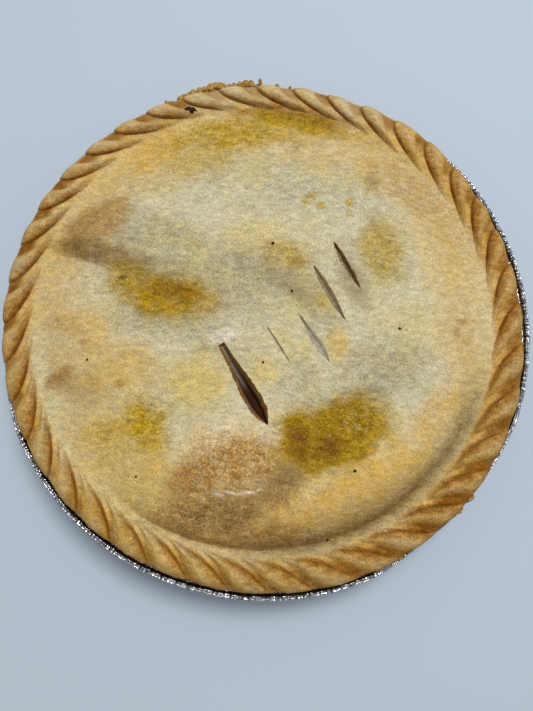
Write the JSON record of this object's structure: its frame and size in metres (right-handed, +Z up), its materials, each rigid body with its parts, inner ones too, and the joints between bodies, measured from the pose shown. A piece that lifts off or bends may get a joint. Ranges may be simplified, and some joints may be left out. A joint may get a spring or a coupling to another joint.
{
  "type": "steak pie",
  "caption": "Round baked pastry pie with a rope-crimped edge and steam slits in a lumpy browned lid, sitting in its shallow fluted foil plate with a rolled rim.",
  "frame": {"origin": "middle of the foil plate's flat base, on the surface that it stands on", "axes": "+Z up through the lid; +X to the right and +Y away from the viewer, with the steam slits running down to the right"},
  "size_m": [0.2298, 0.2298, 0.0449],
  "materials": {
    "pastry": "baked pastry, floury pale middle, golden brown edges, gravy stains",
    "foil": "bright crinkled foil"
  },
  "bodies": {
    "root": {"pie": "pastry", "foil_plate": "foil"}
  },
  "joints": []
}
